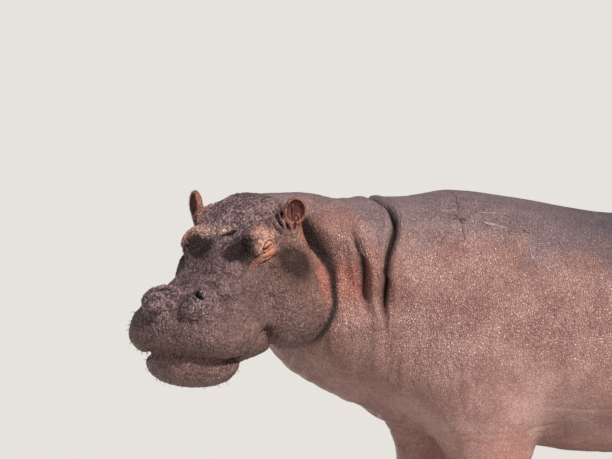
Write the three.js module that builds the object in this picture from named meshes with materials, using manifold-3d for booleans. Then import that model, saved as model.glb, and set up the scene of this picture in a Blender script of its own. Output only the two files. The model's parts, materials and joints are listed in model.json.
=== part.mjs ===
// A standing hippopotamus, life-size, with its head turned to its left and lowered a little.
// Units are millimetres, +Z is up, the nose points towards -X and the animal's left faces -Y.
// Its hide is a set of smooth fields, negative inside, made of rounded masses. Each sub-part is a
// capsule stretched outwards until it meets the surface of its field, and where two of them meet,
// one is cut back by the other with a thin gap between.
import * as THREE from 'three';
import { mergeVertices } from 'three/addons/utils/BufferGeometryUtils.js';
import Module from 'manifold-3d';

const wasm = await Module();
wasm.setup();

// ---------------------------------------------------------------- driving dimensions
// Construction starts from the ground under the withers.
const EYES = [-997, -276, 1290];      // midpoint between the eyes
const HEAD_TURN = 43;                 // degrees to the animal's left of its trunk
const HEAD_DROP = 12;                 // degrees nose down
const EYE = { spread: 148, rise: 8, radius: 24 };
const EYELIDS = { long: 27, tall: 12, deep: 34, out: 14 };    // the almond opening over the eyeball
const EAR = { back: -168, spread: 208, rise: 88, height: 54, width: 43, thickness: 17 };
const EAR_CUP = { height: 42, width: 33, depth: 20, forward: 15 };
const EAR_ROOT = { height: 48, width: 28, thickness: 26, drop: 48, inward: 12 };
const NAPE = -207;                    // where the head ends on top, behind the eye line
const NAPE_FOOT = -20;                // and how far down that cut runs, from eye level
const TOES = 4;                       // on each foot
const TOE_FAN = 108;                  // degrees from the first toe to the last
const NAIL = { length: 64, width: 52, thickness: 38, lift: 5, ahead: 54 };
const GAP = 0.5;                      // clearance of a plain cut
const CLEAR = 2;                      // how much larger a wrapped shape is when it cuts its neighbour

// ---------------------------------------------------------------- field toolkit
const { abs, cos, hypot, max, min, sin } = Math;
const rad = THREE.MathUtils.degToRad;

/** Smooth union of two distances over a blend width k. */
function soften(a, b, k) {
  const overlap = max(k - abs(a - b), 0) / k;
  return min(a, b) - overlap * overlap * k * 0.25;
}
const joined = (k, ...fields) => (x, y, z) =>
  fields.reduce((distance, field) => soften(distance, field(x, y, z), k), 1e6);
const bothSides = (k, field) => (x, y, z) => soften(field(x, y, z), field(x, -y, z), k);
const onSide = (side, field) => (x, y, z) => field(x, side * y, z);

/** Ellipsoid at c with radii r, turned by yaw about Z and pitch about its own Y, in degrees. */
function ball(c, r, pitch = 0, yaw = 0) {
  const turn = new THREE.Matrix4().makeRotationFromEuler(new THREE.Euler(0, rad(pitch), rad(yaw), 'ZYX'));
  const e = turn.transpose().elements;
  return (x, y, z) => {
    const dx = x - c[0];
    const dy = y - c[1];
    const dz = z - c[2];
    const px = (e[0] * dx + e[4] * dy + e[8] * dz) / r[0];
    const py = (e[1] * dx + e[5] * dy + e[9] * dz) / r[1];
    const pz = (e[2] * dx + e[6] * dy + e[10] * dz) / r[2];
    const level = hypot(px, py, pz);
    return (level * (level - 1)) / max(hypot(px / r[0], py / r[1], pz / r[2]), 1e-9);
  };
}

/** Round limb from a to b whose radius runs from ra to rb. */
function limb(a, b, ra, rb) {
  const [ax, ay, az] = a;
  const [ux, uy, uz] = [b[0] - ax, b[1] - ay, b[2] - az];
  const uu = ux * ux + uy * uy + uz * uz;
  return (x, y, z) => {
    const t = min(max(((x - ax) * ux + (y - ay) * uy + (z - az) * uz) / uu, 0), 1);
    return hypot(x - ax - t * ux, y - ay - t * uy, z - az - t * uz) - (ra + (rb - ra) * t);
  };
}

/** Smooth function of x through a few [x, value] points, level beyond its ends. */
function profile(points) {
  const slopes = points.map((_, i) => {
    const [before, after] = [points[max(i - 1, 0)], points[min(i + 1, points.length - 1)]];
    return (after[1] - before[1]) / (after[0] - before[0]);
  });
  return (x) => {
    if (x <= points[0][0]) return points[0][1];
    const i = points.findIndex(([end]) => x < end);
    if (i < 0) return points.at(-1)[1];
    const [[x0, v0], [x1, v1]] = [points[i - 1], points[i]];
    const w = x1 - x0;
    const t = (x - x0) / w;
    const s = 1 - t;
    return s * s * ((1 + 2 * t) * v0 + t * w * slopes[i - 1])
      + t * t * ((1 + 2 * s) * v1 - s * w * slopes[i]);
  };
}

/**
 * Long body between x = from and x = to. At each x it is an egg-shaped section between a top line
 * and a bottom line, widest at the belt, a fraction of the height up. Its two ends close bluntly.
 */
function hull({ from, to, top, bottom, width, belt, square, blunt }) {
  const middle = (from + to) / 2;
  const half = (to - from) / 2;
  return (x, y, z) => {
    const [high, low, wide] = [top(x), bottom(x), width(x)];
    const level = low + (high - low) * belt;
    const tall = z > level ? high - level : level - low;
    const section = (abs(y) / wide) ** square + (abs(z - level) / tall) ** square;
    const end = (abs(x - middle) / half) ** blunt[x < middle ? 0 : 1];
    return ((section + end) ** (1 / square) - 1) * min(wide, tall);
  };
}

// ---------------------------------------------------------------- head, in its own frame
// x runs forward from the eye line, y to the animal's left, z up from eye level.
const headFrame = new THREE.Matrix4().makeTranslation(...EYES)
  .multiply(new THREE.Matrix4().makeRotationZ(rad(180 + HEAD_TURN)))
  .multiply(new THREE.Matrix4().makeRotationY(rad(HEAD_DROP)));
const toHead = headFrame.clone().invert().elements;
const inHead = (field) => (x, y, z) => field(
  toHead[0] * x + toHead[4] * y + toHead[8] * z + toHead[12],
  toHead[1] * x + toHead[5] * y + toHead[9] * z + toHead[13],
  toHead[2] * x + toHead[6] * y + toHead[10] * z + toHead[14],
);
const headPoint = ([x, z]) => new THREE.Vector3(x, 0, z).applyMatrix4(headFrame);

const cranium = hull({
  from: -340,
  to: 484,
  top: profile([[-340, 104], [-200, 130], [-90, 102], [10, 47], [110, 2], [220, -40], [320, -62],
    [470, -68]]),
  bottom: profile([[-60, -252], [62, -254], [150, -274], [250, -302], [335, -318], [420, -306], [480, -288]]),
  width: profile([[-340, 180], [-200, 196], [-60, 182], [60, 160], [160, 158], [250, 184], [340, 216],
    [430, 226], [480, 218]]),
  belt: 0.42,
  square: 2.35,
  blunt: [6, 6],
});
const cheek = ball([-125, 146, -200], [176, 134, 176]);
const jowl = ball([-150, 160, -298], [196, 140, 142]);
const cheekEdge = limb([-172, 180, 20], [-268, 222, -215], 34, 56);
const earRidge = limb([-190, 154, 30], [-60, 142, -14], 48, 36);
const orbit = ball([-2, 122, 3], [76, 57, 60], 8);
const lip = limb([-60, 128, -238], [230, 138, -262], 50, 54);
const flew = ball([288, 148, -222], [165, 90, 96]);
const nostril = ball([388, 80, -86], [90, 58, 46]);
const upperHead = joined(36,
  cranium,
  bothSides(50, joined(50, cheek, jowl, cheekEdge)),
  bothSides(30, joined(16, earRidge, orbit)),
  bothSides(30, joined(34, flew, nostril, lip)),
);
const lowerJaw = joined(40,
  hull({
    from: -120,
    to: 450,
    top: () => -150,
    bottom: profile([[-120, -440], [60, -424], [220, -402], [340, -406], [448, -394]]),
    width: profile([[-120, 190], [40, 166], [170, 154], [300, 166], [390, 178], [448, 172]]),
    belt: 0.4,
    square: 2.6,
    blunt: [6, 6],
  }),
  ball([352, 0, -346], [106, 168, 74]),
);

// ---------------------------------------------------------------- neck, trunk and tail
const crest = ball([-735, -66, 1230], [260, 205, 212], 0, 15);
const neck = joined(80,
  crest,
  ball([-570, -42, 1085], [232, 300, 345], -4, 16),
  ball([-375, -10, 1020], [325, 352, 386], -4, 5),
);
const shoulder = ball([30, 285, 760], [260, 200, 380]);
const thigh = ball([1350, 268, 740], [300, 232, 400]);
const trunk = joined(100,
  hull({
    from: -430,
    to: 1775,
    top: profile([[-430, 1376], [-285, 1396], [-100, 1408], [30, 1418], [260, 1384], [620, 1312], [900, 1286],
      [1200, 1290], [1450, 1296], [1775, 1270]]),
    bottom: profile([[-430, 560], [-100, 490], [300, 415], [700, 374], [1100, 390], [1400, 450],
      [1775, 560]]),
    width: profile([[-430, 392], [-100, 446], [300, 530], [750, 612], [1100, 600], [1400, 556],
      [1775, 510]]),
    belt: 0.44,
    square: 2.15,
    blunt: [16, 5],
  }),
  bothSides(60, shoulder),
  bothSides(60, thigh),
);
const tail = joined(30,
  limb([1660, 0, 1060], [1772, 0, 930], 74, 50),
  limb([1772, 0, 930], [1800, 0, 690], 50, 30),
);

// ---------------------------------------------------------------- legs, as the left (-Y) ones
/** Where toe i of a foot points, how far out it lies and how tall it is. */
function toe(i, sole) {
  const angle = rad(TOE_FAN * (i / (TOES - 1) - 0.5));
  const inner = i > 0 && i < TOES - 1;
  return { angle, out: sole * (inner ? 0.8 : 0.72), tall: inner ? 60 : 55 };
}
/** Foot pad and toes, fanned round the front of the foot. */
function foot([x, y], sole) {
  const toes = Array.from({ length: TOES }, (_, i) => {
    const { angle, out, tall } = toe(i, sole);
    return ball([x - cos(angle) * out, y - sin(angle) * out, 44], [62, 38, tall], 0, angle / rad(1));
  });
  return joined(14, ball([x, y, 66], [sole, sole * 0.92, 115]), ...toes);
}
const FORELEG = {
  name: 'foreleg',
  foot: [0, -300],
  sole: 145,
  top: limb([30, -312, 640], [50, -315, 450], 175, 150),
  shank: joined(40,
    limb([50, -315, 450], [15, -302, 220], 140, 112),
    limb([15, -302, 220], [0, -300, 100], 112, 128)),
  spine: [[0, -300, 0], [10, -303, 200], [40, -314, 470], [40, -320, 640]],
  room: { from: [35, -335, 500], to: [0, -300, -60], radius: 245 },
  limit: 330,
};
const HINDLEG = {
  name: 'hindleg',
  foot: [1395, -272],
  sole: 132,
  top: limb([1340, -270, 640], [1300, -288, 460], 235, 168),
  shank: joined(40,
    limb([1300, -288, 460], [1415, -276, 270], 155, 108),
    limb([1415, -276, 270], [1400, -272, 110], 106, 118)),
  spine: [[1396, -272, 0], [1408, -276, 230], [1345, -288, 430], [1320, -300, 660]],
  room: { from: [1325, -330, 530], to: [1400, -272, -60], radius: 284 },
  limit: 360,
};
const LEGS = [FORELEG, HINDLEG];

// ---------------------------------------------------------------- what each sub-part is stretched over
const headHide = joined(40, inHead(upperHead), crest);
const neckHide = joined(30, neck, inHead(cranium));
const trunkHide = joined(60, trunk, ...LEGS.map(({ top }) => bothSides(1, top)));
const legHide = ({ top, shank, foot: at, sole }) => joined(60, trunk, joined(24, top, shank, foot(at, sole)));

// ---------------------------------------------------------------- stretching a capsule over a field
const STEP = 3;                       // shortest step along a ray
const CAUTION = 0.6;                  // share of the distance that a step may take
const HALVINGS = 18;                  // that settle where a ray leaves the field

/** How far a ray from o along d runs inside the field, up to a limit. */
function reachOf(field, o, d, limit) {
  const at = (t) => field(o.x + d.x * t, o.y + d.y * t, o.z + d.z * t);
  let outside = 0;
  let inside = 0;
  for (let distance = at(0); distance <= 0 && outside < limit; distance = at(outside)) {
    inside = outside;
    outside += max(-distance * CAUTION, STEP);
  }
  if (outside >= limit) return limit;
  for (let i = 0; i < HALVINGS; i++) {
    const middle = (outside + inside) / 2;
    if (at(middle) > 0) outside = middle;
    else inside = middle;
  }
  return outside;
}

/** Solid of a field round a spine of points: rings across it, rays round it, domes at its ends. */
function wrapped(field, points, { rings, rays, domes, limit = 1200, up = [0, 0, 1] }) {
  const spine = new THREE.CatmullRomCurve3(points);
  const height = 2;
  const geometry = new THREE.CapsuleGeometry(1, height, domes, rays, rings);
  const position = geometry.getAttribute('position');
  const upright = new THREE.Vector3(...up);
  const along = new THREE.Vector3();
  const side = new THREE.Vector3();
  const lift = new THREE.Vector3();
  const ray = new THREE.Vector3();
  for (let i = 0; i < position.count; i++) {
    const t = THREE.MathUtils.clamp(position.getY(i) / height + 0.5, 0, 1);
    const overhang = position.getY(i) - (t - 0.5) * height;
    const origin = spine.getPointAt(t);
    spine.getTangentAt(t, along);
    side.crossVectors(upright, along).normalize();
    lift.crossVectors(along, side);
    ray.copy(lift).multiplyScalar(position.getX(i))
      .addScaledVector(side, position.getZ(i))
      .addScaledVector(along, overhang)
      .normalize();
    origin.addScaledVector(ray, reachOf(field, origin, ray, limit));
    position.setXYZ(i, ...origin);
  }
  return solid(geometry);
}
const points = (list, side = 1) => list.map(([x, y, z]) => new THREE.Vector3(x, y * side, z));
const grown = (field, by) => (x, y, z) => field(x, y, z) - by;

// ---------------------------------------------------------------- solids and cuts
const ROOM = 5000;                    // size of the boxes that stand for half spaces
const place = (x, y, z, rx = 0, ry = 0, rz = 0) => new THREE.Matrix4().makeTranslation(x, y, z)
  .multiply(new THREE.Matrix4().makeRotationFromEuler(new THREE.Euler(rad(rx), rad(ry), rad(rz), 'ZYX')));

/** Manifold solid of a closed mesh, placed by a matrix. */
function solid(geometry, matrix = new THREE.Matrix4()) {
  geometry.deleteAttribute('normal');
  geometry.deleteAttribute('uv');
  const merged = mergeVertices(geometry, 1e-3).applyMatrix4(matrix);
  return new wasm.Manifold(new wasm.Mesh({
    numProp: 3,
    vertProperties: merged.getAttribute('position').array,
    triVerts: new Uint32Array(merged.index.array),
  }));
}
/** Everything beyond a plane, on the +X side of the frame that it stands in. */
const beyond = (frame, gap = 0) =>
  solid(new THREE.BoxGeometry(ROOM, ROOM, ROOM).translate(ROOM / 2 + gap, 0, 0), frame);
/** Ellipsoid solid with radii along its own x, y and z, poles up. */
const oval = (x, y, z, around, down, matrix) =>
  solid(new THREE.SphereGeometry(1, around, down).rotateX(Math.PI / 2).scale(x, y, z), matrix);

/** The room of a leg: a capsule round it that parts it from the trunk. */
function legRoom({ from, to, radius }, side, gap = 0) {
  const [a, b] = points([from, to], side);
  const axis = b.clone().sub(a);
  const turn = new THREE.Quaternion()
    .setFromUnitVectors(new THREE.Vector3(0, 1, 0), axis.clone().normalize());
  const frame = new THREE.Matrix4().compose(a.lerp(b, 0.5), turn, new THREE.Vector3(1, 1, 1));
  return solid(new THREE.CapsuleGeometry(radius + gap, axis.length(), 3, 14, 1), frame);
}

// ---------------------------------------------------------------- materials
const hide = new THREE.MeshStandardMaterial({ color: 0x6b5650, roughness: 0.5 });
const pinkHide = new THREE.MeshStandardMaterial({ color: 0x8a5a4c, roughness: 0.55 });
const eyeGloss = new THREE.MeshStandardMaterial({ color: 0x2a1a12, roughness: 0.1 });
const horn = new THREE.MeshStandardMaterial({ color: 0x4a3c34, roughness: 0.45 });

const hippopotamus = new THREE.Group();
function add(name, shape, material) {
  const mesh = shape.getMesh();
  const geometry = new THREE.BufferGeometry();
  geometry.setAttribute('position', new THREE.BufferAttribute(mesh.vertProperties, 3));
  geometry.setIndex(new THREE.BufferAttribute(mesh.triVerts, 1));
  const part = new THREE.Mesh(geometry, material);
  part.name = name;
  hippopotamus.add(part);
}

// ---------------------------------------------------------------- head, jaw, neck, trunk and tail
const headWrap = (by) => wrapped(
  grown(headHide, by),
  [[-200, -140], [-20, -150], [150, -165], [330, -180]].map(headPoint),
  { rings: 23, rays: 28, domes: 4, limit: 520 },
);
const trunkWrap = (by) => wrapped(
  grown(trunkHide, by),
  points([[-150, 0, 930], [300, 0, 880], [800, 0, 840], [1300, 0, 820]]),
  { rings: 16, rays: 26, domes: 3 },
);
const neckWrap = wrapped(
  neckHide,
  points([[-330, 0, 1020], [-450, -10, 1050], [-550, -30, 1075], [-640, -50, 1090]]),
  { rings: 7, rays: 24, domes: 3, limit: 450 },
);
const jawWrap = wrapped(
  inHead(lowerJaw),
  [[-70, -320], [120, -320], [360, -325]].map(headPoint),
  { rings: 7, rays: 12, domes: 2, limit: 400 },
);
const tailWrap = wrapped(
  tail,
  points([[1672, 0, 1040], [1760, 0, 940], [1790, 0, 830], [1800, 0, 700]]),
  { rings: 6, rays: 8, domes: 2, limit: 200, up: [1, 0, 0] },
);
const ahead = (gap) => beyond(headFrame.clone().multiply(place(NAPE, 0, 0)), gap);
const above = (gap) => beyond(headFrame.clone().multiply(place(0, 0, NAPE_FOOT, 0, -90, 0)), gap);
const backOfNape = (gap) => above(gap).subtract(ahead(-gap));

add('lower_jaw', jawWrap.subtract(headWrap(CLEAR)), hide);
add('neck', neckWrap
  .subtract(headWrap(CLEAR).subtract(backOfNape(GAP)))
  .subtract(above(0).intersect(ahead(-GAP)))
  .subtract(trunkWrap(CLEAR)), hide);
add('tail', tailWrap.subtract(trunkWrap(CLEAR)), hide);

// ---------------------------------------------------------------- eyes and ears
let head = headWrap(0).subtract(backOfNape(0));
for (const [side, s] of [['left', 1], ['right', -1]]) {
  const eyeAt = headFrame.clone().multiply(place(0, EYE.spread * s, EYE.rise));
  const lidsAt = eyeAt.clone().multiply(place(0, EYELIDS.out * s, 0));
  const eyeball = (r) => oval(r, r, r, 10, 8, eyeAt);
  head = head.subtract(eyeball(EYE.radius + GAP))
    .subtract(oval(EYELIDS.long, EYELIDS.deep, EYELIDS.tall, 10, 6, lidsAt));
  add(`eye_${side}`, eyeball(EYE.radius), eyeGloss);

  const earAt = headFrame.clone().multiply(place(EAR.back, EAR.spread * s, EAR.rise, -14 * s, -8, 38 * s));
  const rootAt = earAt.clone().multiply(place(-6, -EAR_ROOT.inward * s, -EAR_ROOT.drop));
  const cupAt = earAt.clone().multiply(place(EAR_CUP.forward, 0, 2));
  add(`ear_${side}`, oval(EAR.thickness, EAR.width, EAR.height, 10, 8, earAt)
    .add(oval(EAR_ROOT.thickness, EAR_ROOT.width, EAR_ROOT.height, 6, 4, rootAt))
    .subtract(oval(EAR_CUP.depth, EAR_CUP.width, EAR_CUP.height, 8, 6, cupAt))
    .subtract(headWrap(CLEAR)), pinkHide);
}
add('head', head, hide);

// ---------------------------------------------------------------- legs and nails
const ground = beyond(place(0, 0, 0, 0, -90, 0));
let torso = trunkWrap(0);
for (const [side, s] of [['left', 1], ['right', -1]]) {
  for (const leg of LEGS) {
    const legWrap = (by) => wrapped(
      onSide(s, grown(legHide(leg), by)),
      points(leg.spine, s),
      { rings: 8, rays: 16, domes: 2, limit: leg.limit, up: [1, 0, 0] },
    );
    torso = torso.subtract(legRoom(leg.room, s, GAP));
    add(`${leg.name}_${side}`, legWrap(0).intersect(legRoom(leg.room, s)).intersect(ground), hide);
    for (let i = 0; i < TOES; i++) {
      const { angle, out } = toe(i, leg.sole);
      const reach = out + NAIL.ahead;
      const [x, y] = [leg.foot[0] - cos(angle) * reach, leg.foot[1] - sin(angle) * reach];
      const at = place(x, y * s, NAIL.length / 2 + NAIL.lift, 0, 12, (angle / rad(1)) * s);
      add(
        `nail_${leg.name}_${side}_${i + 1}`,
        oval(NAIL.thickness / 2, NAIL.width / 2, NAIL.length / 2, 8, 4, at).subtract(legWrap(CLEAR)),
        horn,
      );
    }
  }
}
add('trunk', torso, hide);

// The origin lies on the ground, under the middle of the whole animal.
const middle = new THREE.Box3().setFromObject(hippopotamus).getCenter(new THREE.Vector3());
hippopotamus.position.set(-middle.x, -middle.y, 0);

export default hippopotamus;
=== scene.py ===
"""Looks of a life-size still model of a hippopotamus that stands with its head turned to its left.

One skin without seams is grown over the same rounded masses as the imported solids, and takes the
place of every solid of flesh. It adds what they leave out: folds, lids, lips, nostrils and ear
cups. Lengths of the body are in millimetres from the ground under the withers, with the nose
towards -X and the animal's left towards -Y. They turn into metres of the frame at the end.
"""
import json
import math
from itertools import product

import bmesh
import bpy
import numpy as np
from mathutils import Matrix, Vector


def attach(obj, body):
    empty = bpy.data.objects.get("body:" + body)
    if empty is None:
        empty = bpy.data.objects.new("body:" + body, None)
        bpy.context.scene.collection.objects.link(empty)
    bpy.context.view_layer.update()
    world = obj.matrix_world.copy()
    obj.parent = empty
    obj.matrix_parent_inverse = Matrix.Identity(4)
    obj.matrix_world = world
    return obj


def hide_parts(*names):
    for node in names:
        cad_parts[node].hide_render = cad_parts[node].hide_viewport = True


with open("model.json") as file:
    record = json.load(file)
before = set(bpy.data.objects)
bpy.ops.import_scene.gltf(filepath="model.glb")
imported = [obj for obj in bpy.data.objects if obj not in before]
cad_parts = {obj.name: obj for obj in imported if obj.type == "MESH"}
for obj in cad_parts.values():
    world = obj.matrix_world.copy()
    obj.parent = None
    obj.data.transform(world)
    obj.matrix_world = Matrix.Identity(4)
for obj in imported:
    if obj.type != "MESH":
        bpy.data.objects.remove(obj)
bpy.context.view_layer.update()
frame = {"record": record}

# ------------------------------------------------------------------ driving sizes
EYES = np.array([-997.0, -276.0, 1290.0])   # midpoint between the eyes
HEAD_TURN = 43.0                            # degrees to the animal's left of its trunk
HEAD_DROP = 12.0                            # degrees nose down
EYE_SPREAD, EYE_RISE, EYE_RADIUS = 148.0, 8.0, 24.0
EAR_PLACE = np.array([-168.0, 208.0, 88.0])
EAR_SIZE = np.array([17.0, 43.0, 54.0])     # half thickness, half width, half height
EAR_ROOT = np.array([-6.0, -12.0, -48.0])
EAR_ROOT_SIZE = np.array([26.0, 28.0, 48.0])
TOES = 4
TOE_FAN = 108.0                             # degrees from the first toe to the last
# Middle of each left sole and its radius.
FEET = {"foreleg": ((0.0, -300.0), 145.0), "hindleg": ((1395.0, -272.0), 132.0)}
NAIL_SIZE = np.array([18.0, 29.0, 32.0])    # half thickness, half width, half height
NAIL_AHEAD, NAIL_LIFT, NAIL_LOWEST = 50.0, 5.0, 1.5
NAIL_TILT = 20.0
SIDES = {"left": 1.0, "right": -1.0}


def turned(pitch=0.0, yaw=0.0, roll=0.0):
    """Rotation by roll about X, then pitch about Y, then yaw about Z, in degrees."""
    turn = Matrix.Rotation(math.radians(yaw), 3, "Z")
    turn @= Matrix.Rotation(math.radians(pitch), 3, "Y")
    turn @= Matrix.Rotation(math.radians(roll), 3, "X")
    return np.array(turn)


HEAD_AXES = turned(HEAD_DROP, 180 + HEAD_TURN)
EAR_AXES = turned(-8, 38, -14)

# The record's sole mount lies on the ground under the left forefoot.
FOREFOOT = np.array([*FEET["foreleg"][0], 0.0])
SHIFT = np.array(frame["record"]["mounts"][0]["pos_m"]) * 1000 - FOREFOOT


def to_head(body):
    """Points of the body as seen from the head: forward of the eye line, to its left, above it."""
    return (body - EYES) @ HEAD_AXES


def from_head(head):
    """Points of the head back on the body."""
    return EYES + head @ HEAD_AXES.T


def own_side(points):
    """Points with the side of negative Y folded onto the other."""
    return np.column_stack([points[:, 0], np.abs(points[:, 1]), points[:, 2]])


def to_ear(head):
    """Points of the head as seen from the ear of their own side: ahead, outward, up."""
    return (own_side(head) - EAR_PLACE) @ EAR_AXES


def to_frame(body):
    return (body + SHIFT) / 1000


def length_of(vectors):
    return np.sqrt((vectors ** 2).sum(1))


def unit(vectors):
    return vectors / np.maximum(length_of(vectors), 1e-9)[:, None]


# ------------------------------------------------------------------ fields
# A field gives for each point about how far it lies outside a mass, negative inside.
def soften(a, b, width):
    """Union of two fields that rounds the valley between them over a width."""
    overlap = np.maximum(width - np.abs(a - b), 0) / width
    return np.minimum(a, b) - overlap * overlap * width * 0.25


def joined(width, *fields):
    def union(p):
        total = fields[0](p)
        for field in fields[1:]:
            total = soften(total, field(p), width)
        return total
    return union


def both_sides(width, field):
    return lambda p: soften(field(p), field(p * [1, -1, 1]), width)


def ball(centre, radii, pitch=0.0, yaw=0.0):
    """Egg-shaped mass with a radius along each of its own axes."""
    axes, radii = turned(pitch, yaw), np.array(radii, float)

    def field(p):
        local = (p - centre) @ axes / radii
        level = length_of(local)
        return level * (level - 1) / np.maximum(length_of(local / radii), 1e-9)
    return field


def limb(a, b, radius_a, radius_b):
    """Round limb whose radius changes from one end to the other."""
    a, along = np.array(a, float), np.subtract(b, a)

    def field(p):
        share = np.clip((p - a) @ along / (along @ along), 0, 1)
        axis = a + share[:, None] * along
        return length_of(p - axis) - (radius_a + (radius_b - radius_a) * share)
    return field


def profile(points):
    """Smooth function of x through a few (x, value) points, level beyond its ends."""
    x, value = np.array(points, float).T
    before = np.maximum(np.arange(len(x)) - 1, 0)
    after = np.minimum(np.arange(len(x)) + 1, len(x) - 1)
    slope = (value[after] - value[before]) / (x[after] - x[before])

    def at(where):
        inside = np.clip(where, x[0], x[-1])
        i = np.clip(np.searchsorted(x, inside, side="right"), 1, len(x) - 1)
        width = x[i] - x[i - 1]
        t = (inside - x[i - 1]) / width
        s = 1 - t
        return (s * s * ((1 + 2 * t) * value[i - 1] + t * width * slope[i - 1])
                + t * t * ((1 + 2 * s) * value[i] - s * width * slope[i]))
    return at


def hull(start, end, top, bottom, width, belt, square, blunt):
    """Long body with egg-shaped sections between a top and a bottom line, and two blunt ends."""
    middle, half = (start + end) / 2, (end - start) / 2

    def field(p):
        x, y, z = p.T
        high, low, wide = top(x), bottom(x), width(x)
        level = low + (high - low) * belt
        tall = np.where(z > level, high - level, level - low)
        section = (np.abs(y) / wide) ** square + (np.abs(z - level) / tall) ** square
        power = np.where(x < middle, blunt[0], blunt[1])
        ends = (np.abs(x - middle) / half) ** power
        steep = power / (square * half) * np.minimum(ends, 1)
        return ((section + ends) ** (1 / square) - 1) / np.hypot(1 / np.minimum(wide, tall), steep)
    return field


def smooth(value, start, end):
    """0 before start, 1 after end, with an even rise between."""
    t = np.clip((value - start) / (end - start), 0, 1)
    return t * t * (3 - 2 * t)


def fall(value, start, end):
    """1 before start, 0 after end."""
    return 1 - smooth(value, start, end)


def band(value, start, high, low, end):
    """0 before start, 1 from high to low, 0 after end."""
    return smooth(value, start, high) * fall(value, low, end)


def bump(distance, width):
    """1 where the distance is 0, and near 0 twice the width away."""
    return np.exp(-(distance / width) ** 2)


def crease(a, b, depth, width, reach=26.0):
    """Fold that is pressed in where the surfaces of two masses meet."""
    apart = np.maximum(np.maximum(a, b), 0)
    return depth * bump(a - b, width) * bump(apart, reach)


def along_path(points, path):
    """Distance to a bent line and the share of its length, for points of a plane or of space."""
    path = np.array(path, float)
    lengths = length_of(np.diff(path, axis=0))
    starts = np.concatenate([[0], np.cumsum(lengths)])
    best, share = np.full(len(points), 1e9), np.zeros(len(points))
    for a, b, start, length in zip(path, path[1:], starts, lengths):
        t = np.clip((points - a) @ (b - a) / length ** 2, 0, 1)
        distance = length_of(points - a - t[:, None] * (b - a))
        closer = distance < best
        best = np.where(closer, distance, best)
        share = np.where(closer, (start + t * length) / starts[-1], share)
    return best, share


FAR = 400.0


def within(low, high, field):
    """The field inside a box, and a distance that touches nothing outside it."""
    def bounded(p):
        out = np.full(len(p), FAR)
        near = ((p > low) & (p < high)).all(1)
        if near.any():
            out[near] = field(p[near])
        return out
    return bounded


# ------------------------------------------------------------------ masses of the head
cranium = hull(
    -340, 484,
    profile([(-340, 104), (-200, 130), (-90, 102), (10, 47), (110, 2), (220, -40), (320, -62), (470, -68)]),
    profile([(-60, -252), (62, -254), (150, -274), (250, -302), (335, -318), (420, -306), (480, -288)]),
    profile([(-340, 180), (-200, 196), (-60, 182), (60, 160), (160, 158), (250, 184), (340, 216),
             (430, 226), (480, 218)]),
    0.42, 2.35, (6, 6),
)
cheeks = both_sides(50, joined(50, ball([-125, 146, -200], [176, 134, 176]),
                               ball([-150, 160, -298], [196, 140, 142]),
                               limb([-172, 180, 20], [-256, 208, -215], 34, 50),
                               limb([-256, 208, -215], [-212, 204, -335], 50, 62)))
brows = both_sides(30, joined(16, limb([-190, 154, 30], [-60, 142, -14], 48, 36),
                              ball([-2, 122, 3], [76, 57, 60], 8)))
muzzle = both_sides(30, joined(34, ball([288, 148, -222], [165, 90, 96]),
                               ball([388, 80, -86], [90, 58, 46]),
                               limb([-60, 128, -238], [230, 138, -262], 50, 54)))
upper_head = joined(36, cranium, cheeks, brows, muzzle)
lower_jaw = joined(
    40,
    hull(-120, 450, lambda x: np.full_like(x, -150),
         profile([(-120, -440), (60, -424), (220, -402), (340, -406), (448, -394)]),
         profile([(-120, 190), (40, 166), (170, 154), (300, 166), (390, 178), (448, 172)]),
         0.4, 2.6, (6, 6)),
    ball([352, 0, -346], [106, 168, 74]),
)
ear_cap = ball([0, 0, 0], EAR_SIZE)
ear_lobe = joined(12, ear_cap, ball(EAR_ROOT, EAR_ROOT_SIZE))

# ------------------------------------------------------------------ masses of the body
crest = ball([-735, -66, 1230], [260, 205, 212], 0, 15)
neck = joined(80, crest, ball([-570, -42, 1085], [232, 300, 345], -4, 16),
              ball([-375, -10, 1020], [325, 352, 386], -4, 5))
trunk = joined(
    100,
    hull(-430, 1775,
         profile([(-430, 1376), (-285, 1396), (-100, 1408), (30, 1418), (260, 1384), (620, 1312),
                  (900, 1286), (1200, 1290), (1450, 1296), (1775, 1270)]),
         profile([(-430, 560), (-100, 490), (300, 415), (700, 374), (1100, 390), (1400, 450), (1775, 560)]),
         profile([(-430, 392), (-100, 446), (300, 530), (750, 612), (1100, 600), (1400, 556), (1775, 510)]),
         0.44, 2.15, (16, 5)),
    both_sides(60, ball([30, 285, 760], [260, 200, 380])),
    both_sides(60, ball([1350, 268, 740], [300, 232, 400])),
)
tail = joined(30, limb([1660, 0, 1060], [1772, 0, 930], 74, 50),
              limb([1772, 0, 930], [1800, 0, 690], 50, 30))


def toe_places(sole):
    """Direction of each toe, how far out it lies and how tall it is."""
    for i in range(TOES):
        angle = math.radians(TOE_FAN * (i / (TOES - 1) - 0.5))
        inner = 0 < i < TOES - 1
        yield angle, sole * (0.8 if inner else 0.72), 60 if inner else 55


def foot(name):
    (x, y), sole = FEET[name]
    toes = [ball([x - math.cos(angle) * out, y - math.sin(angle) * out, 44], [62, 38, tall], 0,
                 math.degrees(angle)) for angle, out, tall in toe_places(sole)]
    return joined(14, ball([x, y, 66], [sole, sole * 0.92, 115]), *toes)


foreleg = joined(
    30,
    limb([30, -312, 640], [50, -315, 450], 175, 150),
    joined(40, limb([50, -315, 450], [15, -302, 220], 140, 112),
           limb([15, -302, 220], [0, -300, 100], 112, 128)),
    foot("foreleg"),
)
hindleg = joined(
    30,
    limb([1340, -270, 640], [1300, -288, 460], 235, 168),
    joined(40, limb([1300, -288, 460], [1415, -276, 270], 155, 108),
           limb([1415, -276, 270], [1400, -272, 110], 106, 118)),
    foot("hindleg"),
)

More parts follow.
